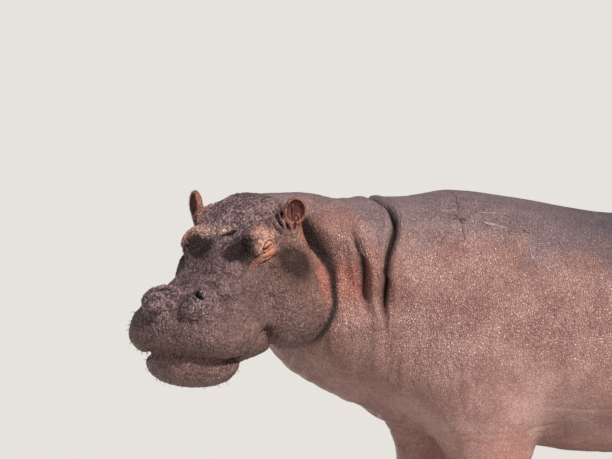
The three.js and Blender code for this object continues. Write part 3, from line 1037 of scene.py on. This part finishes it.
def rise(tree, value, start, end):
    """0 before start, 1 after end, with an even rise between."""
    values = {"Value": value, "From Min": start, "From Max": end}
    return add(tree, "MapRange", values, interpolation_type="SMOOTHSTEP").outputs[0]


def mark(tree, name):
    """Value that the mesh carries at its points."""
    return add(tree, "Attribute", attribute_name=name).outputs["Fac"]


def squeezed(tree, place, scale):
    return add(tree, "Mapping", {"Vector": place, "Scale": scale}).outputs[0]


def object_place(tree):
    return add(tree, "TexCoord").outputs["Object"]


def bent(tree, place, scale, detail, reach):
    """Place pushed about by a noise, over a reach in metres."""
    noise = add(tree, "TexNoise", {"Vector": place, "Scale": scale, "Detail": detail}).outputs[1]
    push = vectors(tree, "SUBTRACT", noise, (0.5, 0.5, 0.5))
    return vectors(tree, "ADD", place, stretched(tree, push, reach))


def new_group(name, inputs, outputs):
    """Empty node group, what comes into it and what goes out."""
    group = bpy.data.node_groups.new(name, "ShaderNodeTree")
    for label, kind in inputs.items():
        group.interface.new_socket(label, in_out="INPUT", socket_type="NodeSocket" + kind)
    for label, kind in outputs.items():
        group.interface.new_socket(label, in_out="OUTPUT", socket_type="NodeSocket" + kind)
    return group, group.nodes.new("NodeGroupInput").outputs, group.nodes.new("NodeGroupOutput").inputs


def use(tree, group, **values):
    made = tree.nodes.new("ShaderNodeGroup")
    made.node_tree = group
    for name, value in values.items():
        wire(tree, value, made.inputs[name])
    return made.outputs


def make_mottle():
    """Soft patches of about a size, 0 between them and 1 inside."""
    tree, given, out = new_group("mottle", {"Place": "Vector", "Size": "Float"}, {"Patch": "Float"})
    scale = maths(tree, "DIVIDE", 1.0, given["Size"])
    values = {"Vector": given["Place"], "Scale": scale, "Detail": 4.0, "Roughness": 0.6}
    wire(tree, rise(tree, add(tree, "TexNoise", values).outputs[0], 0.38, 0.62), out["Patch"])
    return tree


def make_pebbles():
    """Raised cells of about a size with cracks between them."""
    tree, given, out = new_group("pebbles", {"Place": "Vector", "Size": "Float"},
                                 {"Height": "Float", "Crack": "Float"})
    scale = maths(tree, "DIVIDE", 1.0, given["Size"])
    place = bent(tree, given["Place"], times(tree, scale, 0.45), 2.0, times(tree, given["Size"], 1.7))
    cells = add(tree, "TexVoronoi", {"Vector": place, "Scale": scale}, feature="DISTANCE_TO_EDGE")
    away = cells.outputs["Distance"]
    wire(tree, rise(tree, away, -0.25, 0.5), out["Height"])
    wire(tree, maths(tree, "SUBTRACT", 1.0, rise(tree, away, 0.0, 0.2)), out["Crack"])
    return tree


def make_scratch():
    """Straight mark between two places, 1 along its middle."""
    given = {"Place": "Vector", "Start": "Vector", "End": "Vector", "Width": "Float"}
    tree, given, out = new_group("scratch", given, {"Mark": "Float"})
    span = vectors(tree, "SUBTRACT", given["End"], given["Start"])
    away = vectors(tree, "SUBTRACT", given["Place"], given["Start"])
    along = vectors(tree, "DOT_PRODUCT", away, span, "Value")
    whole = vectors(tree, "DOT_PRODUCT", span, span, "Value")
    share = add(tree, "Clamp", {"Value": maths(tree, "DIVIDE", along, whole)}).outputs[0]
    apart = vectors(tree, "DISTANCE", away, stretched(tree, span, share), "Value")
    near = rise(tree, maths(tree, "DIVIDE", apart, given["Width"]), 0.35, 1.0)
    wire(tree, maths(tree, "SUBTRACT", 1.0, near), out["Mark"])
    return tree


MOTTLE, PEBBLES, SCRATCH = make_mottle(), make_pebbles(), make_scratch()


# ------------------------------------------------------------------ materials
def new_material(name, **constants):
    """Material, its node tree and its shader, with numbers that are the same all over."""
    material = bpy.data.materials.new(name)
    material.use_nodes = True
    shader = material.node_tree.nodes["Principled BSDF"]
    for label, value in constants.items():
        shader.inputs[label.replace("_", " ")].default_value = value
    return material, material.node_tree, shader.inputs


def relief_normal(tree, height, depth):
    return add(tree, "Bump", {"Height": height, "Strength": 1.0, "Distance": depth}).outputs[0]


# Old scratches and a crack in the hide of the back: start and end on the body, width, in mm.
PALE_SCRATCHES = [
    ((-100, -183, 1368), (-44, -196, 1364), 7),
    ((42, -228, 1361), (90, -236, 1355), 6),
    ((36, -276, 1322), (108, -304, 1308), 7),
]
CRACK = [(-2, -30, 1413), (-14, -100, 1400), (-38, -180, 1372), (-59, -246, 1338), (-63, -322, 1276)]
DARK_SCRATCHES = [(start, end, 4.5) for start, end in zip(CRACK, CRACK[1:])] + [
    ((-80, -238, 1342), (-38, -252, 1334), 9),
    ((-64, -222, 1350), (-54, -266, 1326), 8),
    ((176, -314, 1292), (190, -320, 1288), 9),
]

# Colours laid over the hide where its mesh is marked: mark, most cover, colour and what breaks it up.
HIDE_LAYERS = [
    ("dusk", 0.88, (0.125, 0.096, 0.115), "broad"),
    ("cheek", 0.8, (0.52, 0.265, 0.2), "middling"),
    ("rosy", 0.85, (0.6, 0.23, 0.17), "middling"),
    ("peach", 0.9, (0.86, 0.47, 0.34), "small"),
    # Partly pale hide, partly painted highlight on wet crests and on the knot between the eyes.
    ("pale", 0.75, (0.8, 0.54, 0.43), "small"),
    ("lids", 0.9, (0.9, 0.4, 0.27), "middling"),
    ("tear", 0.95, (0.62, 0.22, 0.105), "small"),
    # Near black: painted shade in the hollows beside the snout, and near-black patches of hide.
    ("dark_patches_and_shade", 0.97, (0.028, 0.0085, 0.006), "blotched"),
    ("lining", 0.95, (0.13, 0.022, 0.016), "middling"),
    # Painted shade in creases, in folds and in the valley behind the cheek.
    ("fold", 0.98, (0.019, 0.0045, 0.0035), "even"),
]


def scratches(tree, place, strokes):
    """Mask of a set of scratches, laid on the skin."""
    total = 0.0
    for start, end, width in strokes:
        start, end = to_frame(settled(skin_field, np.array([start, end], float), 6))
        values = {"Place": place, "Start": tuple(start), "End": tuple(end), "Width": width / 1000}
        total = maths(tree, "MAXIMUM", total, use(tree, SCRATCH, **values)["Mark"])
    return total


def patches_of_hide(tree, place):
    """Soft patches of several sizes, and mixtures of them."""
    patches = {name: use(tree, MOTTLE, Place=place, Size=size)["Patch"]
               for name, size in (("broad", 0.16), ("middling", 0.045), ("small", 0.0095))}
    patches["freckled"] = scaled(tree, patches["middling"], 0.4, times(tree, patches["small"], 0.6))
    patches["blotched"] = scaled(tree, patches["freckled"], 0.6, 0.25)
    patches["even"] = 0.6
    return patches


def dry_colour(tree, patches):
    """Slate back, pinkish sides, freckled forehead and brown muzzle, with the layers over them. The grey
    back is partly the hide's own colour and partly painted sky reflection on hide that faces up.
    """
    broad, freckled = patches["broad"], patches["freckled"]
    sides = mixed(tree, broad, (0.38, 0.208, 0.182), (0.5, 0.305, 0.27))
    back = mixed(tree, broad, (0.26, 0.185, 0.195), (0.34, 0.25, 0.258))
    forehead = mixed(tree, rise(tree, freckled, 0.1, 0.9), (0.1, 0.061, 0.067), (0.37, 0.25, 0.26))
    muzzle = mixed(tree, freckled, (0.17, 0.1, 0.094), (0.27, 0.17, 0.16))
    muzzle = mixed(tree, times(tree, broad, 0.5), muzzle, (0.34, 0.2, 0.175))
    head = mixed(tree, mark(tree, "lower"), forehead, muzzle)
    colour = mixed(tree, mark(tree, "grey_back_and_sky_sheen"), sides, back)
    colour = mixed(tree, mark(tree, "face"), colour, head)
    for name, most, tint, patch in HIDE_LAYERS:
        uneven = scaled(tree, patches[patch], 0.7, 0.62)
        share = times(tree, times(tree, mark(tree, name), uneven), most)
        colour = mixed(tree, maths(tree, "MINIMUM", share, most), colour, tint)
    return colour


def wet_hide():
    """Bare wet hide with pebbled grain, cracks and a few old scratches."""
    material, tree, inputs = new_material("wet_hide", IOR=1.45, Specular_IOR_Level=0.42)
    place = object_place(tree)
    patches = patches_of_hide(tree, place)
    middling = patches["middling"]
    pebbles = use(tree, PEBBLES, Place=squeezed(tree, place, (1.2, 1.0, 0.7)), Size=0.008)
    wrinkles = use(tree, PEBBLES, Place=squeezed(tree, place, (1.8, 1.2, 0.45)), Size=0.019)
    grain = add(tree, "TexNoise", {"Vector": place, "Scale": 420.0, "Detail": 2.0}).outputs[0]

    grainy = scaled(tree, mark(tree, "grainy"), 0.65, 0.35)
    cracks = scaled(tree, wrinkles["Crack"], 0.25, times(tree, pebbles["Crack"], 0.75))
    cracks = times(tree, cracks, grainy)
    specks = maths(tree, "SUBTRACT", 1.0, patches["small"])
    specks = times(tree, specks, scaled(tree, mark(tree, "lower"), -0.28, 0.4))
    wavering = bent(tree, place, 34.0, 3.0, 0.02)
    worn = times(tree, scratches(tree, wavering, PALE_SCRATCHES), scaled(tree, middling, 0.4, 0.3))
    nicks = times(tree, scratches(tree, wavering, DARK_SCRATCHES), scaled(tree, middling, 0.3, 0.55))
    colour = mixed(tree, cracks, dry_colour(tree, patches), (0.31, 0.215, 0.205), "MULTIPLY")
    colour = mixed(tree, specks, colour, (0.42, 0.34, 0.33), "MULTIPLY")
    colour = mixed(tree, worn, colour, (0.5, 0.34, 0.31))
    wire(tree, mixed(tree, nicks, colour, (0.05, 0.024, 0.02)), inputs["Base Color"])

    shaded = maths(tree, "MAXIMUM", mark(tree, "fold"), mark(tree, "dark_patches_and_shade"))
    rough = scaled(tree, cracks, 0.25, scaled(tree, middling, 0.13, 0.19))
    wire(tree, scaled(tree, shaded, 0.28, rough), inputs["Roughness"])

    height = times(tree, pebbles["Height"], times(tree, grainy, 1.2))
    height = scaled(tree, wrinkles["Height"], scaled(tree, middling, 0.32, 0.12), height)
    height = scaled(tree, grain, 0.16, height)
    calm = scaled(tree, mark(tree, "lining"), -0.65, scaled(tree, mark(tree, "peach"), -0.35, 1.0))
    height = scaled(tree, nicks, -0.8, times(tree, height, calm))
    wire(tree, relief_normal(tree, height, 0.0032), inputs["Normal"])
    return material


def eye_gloss():
    """Dark brown eye under a clear wet film, with a wide pupil."""
    material, tree, inputs = new_material("eye_gloss", Roughness=0.12, Coat_Weight=1.0, Coat_Roughness=0.03)
    place = object_place(tree)
    patch = use(tree, MOTTLE, Place=place, Size=0.0015)["Patch"]
    white = mixed(tree, patch, (0.06, 0.025, 0.018), (0.1, 0.045, 0.032))
    iris = mixed(tree, patch, (0.03, 0.011, 0.005), (0.075, 0.028, 0.01))
    colour = mixed(tree, mark(tree, "iris"), white, iris)
    wire(tree, mixed(tree, mark(tree, "pupil"), colour, (0.002, 0.002, 0.002)), inputs["Base Color"])
    return material


def dull_horn():
    """Grey-brown horn with growth lines, chipped pale towards the ground."""
    material, tree, inputs = new_material("dull_horn", Coat_Weight=0.15, Coat_Roughness=0.3)
    place = object_place(tree)
    patch = use(tree, MOTTLE, Place=place, Size=0.02)["Patch"]
    lines = use(tree, MOTTLE, Place=squeezed(tree, place, (1.0, 1.0, 9.0)), Size=0.03)["Patch"]
    pits = use(tree, PEBBLES, Place=place, Size=0.004)
    colour = mixed(tree, patch, (0.075, 0.055, 0.046), (0.15, 0.115, 0.09))
    colour = mixed(tree, times(tree, lines, 0.4), colour, (0.21, 0.16, 0.12))
    colour = mixed(tree, times(tree, mark(tree, "worn"), 0.6), colour, (0.26, 0.21, 0.16))
    wire(tree, colour, inputs["Base Color"])
    wire(tree, scaled(tree, patch, 0.2, 0.42), inputs["Roughness"])
    wire(tree, relief_normal(tree, scaled(tree, pits["Height"], 0.15, lines), 0.0009), inputs["Normal"])
    return material


def stiff_hair():
    """Brown bristles, darker at the root."""
    material, tree, inputs = new_material("stiff_hair", Roughness=0.38)
    patch = use(tree, MOTTLE, Place=object_place(tree), Size=0.03)["Patch"]
    tips = mixed(tree, patch, (0.20, 0.11, 0.06), (0.34, 0.22, 0.13))
    wire(tree, mixed(tree, mark(tree, "tip"), (0.035, 0.02, 0.014), tips), inputs["Base Color"])
    return material


# ------------------------------------------------------------------ eyes and nails
def grid_faces(rows, columns):
    """Quads of a grid of points that closes on itself sideways."""
    row, column = np.divmod(np.arange((rows - 1) * columns), columns)
    after = (column + 1) % columns
    return np.column_stack([row * columns + column, row * columns + after,
                            (row + 1) * columns + after, (row + 1) * columns + column])


def closed_faces(rows, columns):
    """The same quads with a fan of quads over the first ring and over the last one."""
    fan = np.array([(0, i, i + 1, i + 2) for i in range(1, columns - 2, 2)])
    return np.concatenate([grid_faces(rows, columns), fan[:, ::-1], fan + (rows - 1) * columns])


def eyeball(side):
    """Eyeball with a bulging cornea. It looks outwards, a little forward and up."""
    rows, columns = 56, 72
    angle = np.linspace(0.004, math.pi - 0.004, rows)[:, None]
    turn = np.linspace(0, 2 * math.pi, columns, endpoint=False)[None]
    look = np.stack([np.sin(angle) * np.cos(turn), np.cos(angle) * np.ones_like(turn),
                     np.sin(angle) * np.sin(turn)], 2)
    look = (look * (EYE_RADIUS + 1.6 * bump(angle, 0.42))[:, :, None]).reshape(-1, 3)
    aim = turned(0, -16, 0) @ turned(0, 0, 6)
    h = (look @ aim.T + [0, EYE_SPREAD, EYE_RISE]) * [1, side, 1]
    faces = closed_faces(rows, columns)
    mesh = new_mesh("eyeball", to_frame(from_head(h)), faces if side > 0 else faces[:, ::-1])
    away = np.repeat(angle, columns)
    slit = np.hypot(look[:, 0] / 8.0, look[:, 2] / 5.5)
    give_marks(mesh, {"iris": fall(away, 0.46, 0.54), "pupil": fall(slit, 0.85, 1.1) * (away < 1)})
    return mesh


def toe_nail(name, side, number):
    """Blunt plate on the front of a toe, curved round it and worn at its lower edge."""
    (x, y), sole = FEET[name]
    angle, out, _ = list(toe_places(sole))[number]
    depth, width, height = NAIL_SIZE
    rows, columns = 18, 40
    up = np.linspace(0, 0.998, rows)[:, None]      # short of 1, so that the top ring has a size
    turn = np.linspace(0, 2 * math.pi, columns, endpoint=False)[None]
    narrow = (1 - up ** 2.6) ** 0.5 * (0.86 + 0.14 * smooth(up, 0, 0.12))
    wave = 1 + 0.012 * np.cos(up * 34)
    around = np.sign(np.cos(turn)) * np.abs(np.cos(turn)) ** 0.85 * narrow * wave
    across = np.sign(np.sin(turn)) * np.abs(np.sin(turn)) ** 0.8 * narrow * (1.02 - 0.22 * up)
    plate = np.stack([depth * around, width * across, (up * 2 - 1) * height * np.ones_like(turn)], 2)
    ahead = out + NAIL_AHEAD
    centre = [x - math.cos(angle) * ahead, y - math.sin(angle) * ahead, height + NAIL_LIFT]
    points = plate.reshape(-1, 3) @ turned(NAIL_TILT, 180 + math.degrees(angle)).T + centre
    points[:, 2] = np.maximum(points[:, 2], NAIL_LOWEST)
    points *= [1, side, 1]
    faces = closed_faces(rows, columns)
    mesh = new_mesh("plate", to_frame(points), faces if side > 0 else faces[:, ::-1])
    give_marks(mesh, {"worn": np.repeat(1 - smooth(up, 0.02, 0.3), columns)})
    return mesh


# ------------------------------------------------------------------ bristles
def scattered(points, wanted, count, apart, seed):
    """Indexes of up to count wanted points, no two nearer than a distance."""
    order = np.random.default_rng(seed).permutation(np.flatnonzero(wanted))
    kept = np.empty((0, 3))
    chosen = []
    for index in order:
        if len(chosen) == count:
            break
        if not len(kept) or ((kept - points[index]) ** 2).sum(1).min() > apart ** 2:
            kept = np.vstack([kept, points[index]])
            chosen.append(index)
    return np.array(chosen, int)


def bristle_mesh(roots, ways, lengths, thick, unwrapped, seed):
    """Tufts of three tapered bristles each. Their map has a small patch for each root."""
    rng = np.random.default_rng(seed)
    blades, rings, corners = 3, 5, 4
    count = len(roots) * blades
    root = np.repeat(roots, blades, 0) + rng.normal(0, thick * 1.2, (count, 3))
    way = unit(np.repeat(ways, blades, 0) + rng.normal(0, 0.16, (count, 3)))
    length = np.repeat(lengths, blades) * rng.uniform(0.6, 1.0, count)
    droop = np.array([0, 0, -0.22]) + rng.normal(0, 0.09, (count, 3))
    side = unit(np.cross(way, [0.3, 0.2, 1.0]))
    other = np.cross(way, side)
    share = np.arange(rings) / rings
    spine = (root[:, None] + way[:, None] * length[:, None, None] * (share[None, :, None] - 0.06)
             + droop[:, None] * length[:, None, None] * share[None, :, None] ** 2)
    turn = np.arange(corners) * 2 * math.pi / corners
    radius = thick * (1 - share) ** 0.6
    ring = (np.cos(turn)[None, None, :, None] * side[:, None, None]
            + np.sin(turn)[None, None, :, None] * other[:, None, None]) * radius[None, :, None, None]
    body = (spine[:, :, None] + ring).reshape(count, rings * corners, 3)
    tip = root + way * length[:, None] * 0.94 + droop * length[:, None]
    points = np.concatenate([body, tip[:, None]], 1).reshape(-1, 3)
    quads = grid_faces(rings, corners)
    halves = np.concatenate([quads[:, [0, 1, 2]], quads[:, [0, 2, 3]]])
    last = (rings - 1) * corners
    cone = np.array([[last + i, last + (i + 1) % corners, rings * corners] for i in range(corners)])
    foot = np.array([[0, 2, 1], [0, 3, 2]])
    one = np.concatenate([halves, cone, foot])
    faces = (one[None] + (np.arange(count) * (rings * corners + 1))[:, None, None]).reshape(-1, 3)
    mesh = new_mesh("bristles", to_frame(points), faces)
    along = np.append(np.repeat(share, corners), 1.0)
    about = np.append(np.tile(turn / (2 * math.pi), rings), 0.5)
    give_marks(mesh, {"tip": np.tile(along, count)})
    patch = np.column_stack([about, along]) * 0.003
    flat = (np.repeat(unwrapped, blades, 0)[:, None] + patch[None]).reshape(-1, 2)
    layer = mesh.uv_layers.new(name="OFBake")
    layer.data.foreach_set("uv", flat[faces.ravel()].astype(np.float32).ravel())
    return mesh


def hair_tufts(p, wanted, count, apart, lengths, ways, thick, unwrapped, seed):
    """Bristles on some of the wanted points of the skin, of lengths between two."""
    chosen = scattered(p, wanted, count, apart, seed)
    length = np.random.default_rng(seed + 1).uniform(*lengths, len(chosen))
    return bristle_mesh(p[chosen], unit(ways[chosen]), length, thick, unwrapped[chosen], seed + 2)


def rolled_out(along, turn):
    """Unwrap of a round shape: the way round it, and a share of its length."""
    return np.column_stack([(turn / (2 * math.pi) + 0.5) * 0.98, along])


def muzzle_bristles(p, normals):
    h = to_head(p)
    x, y, z = h.T
    wanted = (x > 235) & (z < -105) & (z > -330) & (x + np.abs(y) > 330)
    wanted |= (x > 250) & (z < -345) & (z > -405) & (x > 370 - 0.4 * np.abs(y))
    place = rolled_out((x + 400) / 1000, np.arctan2(y, z + 180))
    ways = normals + [0, 0, -0.35]
    return hair_tufts(p, wanted, 170, 20, (12, 26), ways, 0.55, place, 81)


def ear_hair(p, normals, side):
    h = to_head(p)
    e = to_ear(h)
    cup = cup_level(e)
    wanted = (np.abs(e) < [40, 52, 62]).all(1) & (h[:, 1] * side > 0) & (e[:, 0] > -4)
    wanted &= ((cup > 0.98) & (cup < 1.3)) | ((cup < 0.9) & (e[:, 2] < -26) & (e[:, 2] > -44))
    out = (EAR_AXES @ [1.0, 0, 0.4]) * [1, side, 1]
    ways = 0.6 * normals + HEAD_AXES @ out * 0.7
    place = np.column_stack([0.25 * (2 + side) + e[:, 1] / 300, 0.5 + e[:, 2] / 300])
    return hair_tufts(p, wanted, 170, 3.6, (4, 9), ways, 0.35, place, 84)


def tail_bristles(p, normals):
    x, y, z = p.T
    wanted = (x > 1740) & (z < 810) & (z > 655) & (np.abs(y) < 60)
    wanted &= (np.abs(normals[:, 0]) > 0.75) | (z < 690)
    place = rolled_out((z - 600) / 400, np.arctan2(y, x - 1796))
    ways = normals * [0.8, 0.5, 0.3] + [0, 0, -1.0]
    return hair_tufts(p, wanted, 150, 6, (26, 52), ways, 0.6, place, 87)


# ------------------------------------------------------------------ putting the animal together
hide, horn, gloss, hair = wet_hide(), dull_horn(), eye_gloss(), stiff_hair()
skin_mesh, skin_points, skin_normals = build_skin()
skin = show("skin", skin_mesh, hide)
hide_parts("head", "lower_jaw", "neck", "trunk", "tail", "ear_left", "ear_right",
            "foreleg_left", "foreleg_right", "hindleg_left", "hindleg_right")

# The record's left is the side of the head's +Y, and the body's -Y.
for label, side in SIDES.items():
    eye = show(f"eyeball_{label}", eyeball(side), gloss)
    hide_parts(f"eye_{label}")
    tufts = show(f"ear_hair_{label}", ear_hair(skin_points, skin_normals, side), hair)
    for leg in FEET:
        for number in range(TOES):
            plate = show(f"plate_{leg}_{label}_{number + 1}", toe_nail(leg, side, number), horn)
            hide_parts(f"nail_{leg}_{label}_{number + 1}")
for label, mesh in (("muzzle_bristles", muzzle_bristles(skin_points, skin_normals)),
                    ("tail_bristles", tail_bristles(skin_points, skin_normals))):
    show(label, mesh, hair)

# ------------------------------------------------------------------ floor, light and camera
VIEW_TURN, VIEW_FALL = math.radians(20), math.radians(7.5)
VIEW_AWAY = 16.0
LENS, SENSOR = 254.1, 36.0
EYES_ASIDE, EYES_RAISED = -0.2926, -0.0574    # of the eyes from the middle of the view, metres
FLOOR = 90.0                                  # half its side


def aim_camera():
    """Long lens from far off, aimed beside the eyes so that the back fills the view's right."""
    level = Vector((math.sin(VIEW_TURN), math.cos(VIEW_TURN), 0))
    ahead = level * math.cos(VIEW_FALL) - Vector((0, 0, math.sin(VIEW_FALL)))
    right = Vector((math.cos(VIEW_TURN), -math.sin(VIEW_TURN), 0))
    up = right.cross(ahead)
    data = bpy.data.cameras.new("camera")
    data.lens, data.sensor_width = LENS, SENSOR
    data.clip_end = 200
    camera = bpy.data.objects.new("camera", data)
    camera.location = Vector(to_frame(EYES)) - ahead * VIEW_AWAY - right * EYES_ASIDE - up * EYES_RAISED
    camera.rotation_euler = ahead.to_track_quat("-Z", "Y").to_euler()
    bpy.context.scene.collection.objects.link(camera)
    bpy.context.scene.camera = camera


def lamp(name, direction, strength, spread, colour):
    """Far soft light that shines from a direction and looks as wide as spread, in degrees."""
    data = bpy.data.lights.new(name, "SUN")
    data.energy, data.angle, data.color = strength, math.radians(spread), colour
    light = bpy.data.objects.new(name, data)
    light.rotation_euler = (-Vector(direction)).to_track_quat("-Z", "Y").to_euler()
    bpy.context.scene.collection.objects.link(light)


def light_studio():
    """Even pale light from all round. The wall behind the floor is as pale as the floor looks."""
    world = bpy.data.worlds.new("studio")
    world.use_nodes = True
    tree = world.node_tree
    background = tree.nodes["Background"]
    seen = add(tree, "LightPath").outputs["Is Camera Ray"]
    wire(tree, mixed(tree, seen, (0.93, 0.96, 1.0), (0.80, 0.79, 0.77)), background.inputs["Color"])
    wire(tree, scaled(tree, seen, 0.74, 0.26), background.inputs["Strength"])
    bpy.context.scene.world = world


def lay_floor():
    corners = [(x * FLOOR, y * FLOOR, 0) for x, y in ((-1, -1), (1, -1), (1, 1), (-1, 1))]
    mesh = new_mesh("floor", corners, [(0, 1, 2, 3)])
    plain = new_material("pale_floor", Base_Color=(0.565, 0.558, 0.543, 1), Roughness=0.9)[0]
    mesh.materials.append(plain)
    floor = bpy.data.objects.new("floor", mesh)
    bpy.context.scene.collection.objects.link(floor)


aim_camera()
lay_floor()
lamp("key", (0.3, -1.0, 1.1), 4.95, 4, (1.0, 0.955, 0.9))
lamp("side", (-1.0, -0.35, 0.5), 0.35, 40, (0.9, 0.95, 1.0))
light_studio()
bpy.context.scene.view_settings.view_transform = "Standard"
